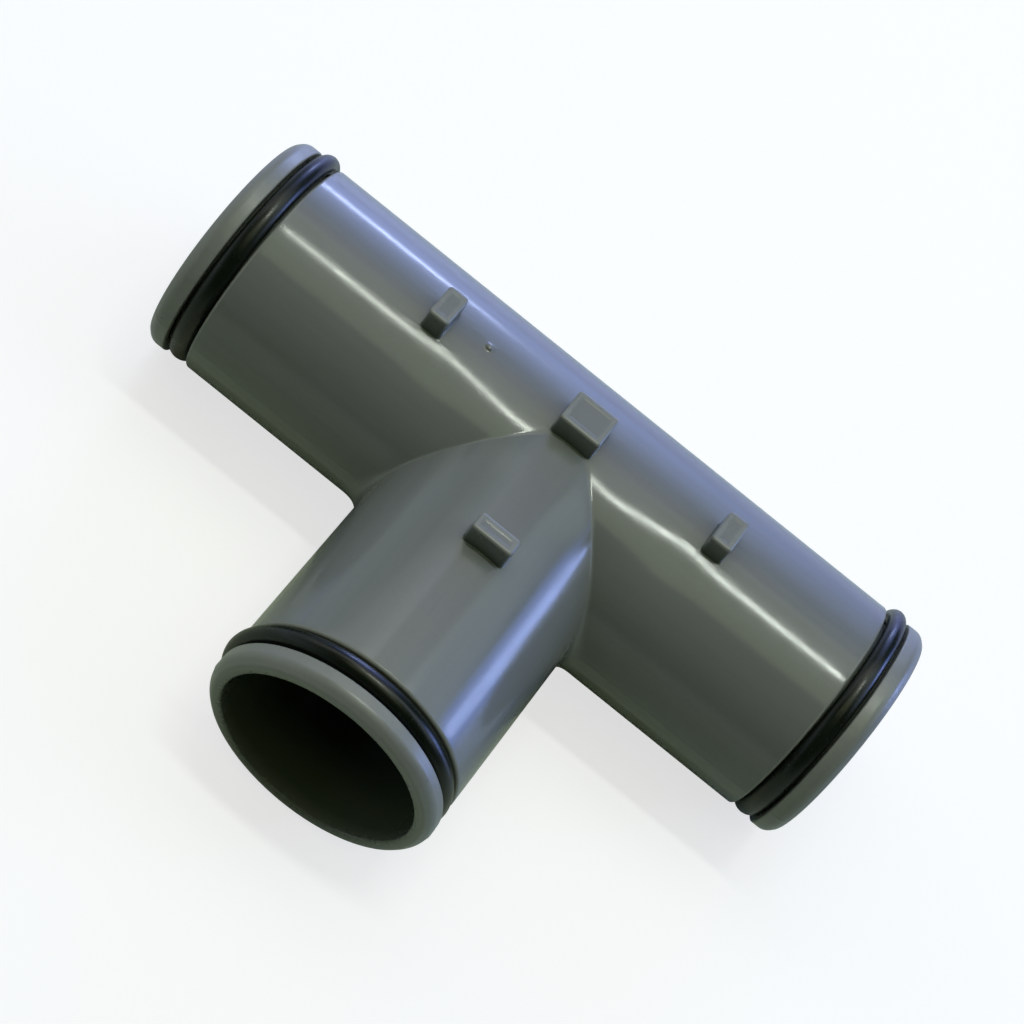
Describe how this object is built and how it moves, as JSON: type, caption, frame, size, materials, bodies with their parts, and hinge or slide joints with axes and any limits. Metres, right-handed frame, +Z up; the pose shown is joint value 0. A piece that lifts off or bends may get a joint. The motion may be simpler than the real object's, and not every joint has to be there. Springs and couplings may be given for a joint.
{
  "type": "pipe tee",
  "caption": "Equal pipe tee with male ends, each with a rounded lip and a black seal ring in a groove, open bores all through, and flat raised pads on the ridge.",
  "frame": {"origin": "where the axis of the straight run crosses the axis of the branch", "axes": "+X along the straight run, -Y out along the branch, +Z up through the raised pads"},
  "size_m": [0.107, 0.0698, 0.038],
  "materials": {
    "body_plastic": "satin moulded grey pvc with a soft sheen",
    "seal_rubber": "smooth black rubber, lightly greased"
  },
  "bodies": {
    "root": {"tee_body": "body_plastic", "seal_ring_left": "seal_rubber", "seal_ring_right": "seal_rubber", "seal_ring_branch": "seal_rubber"}
  },
  "joints": []
}
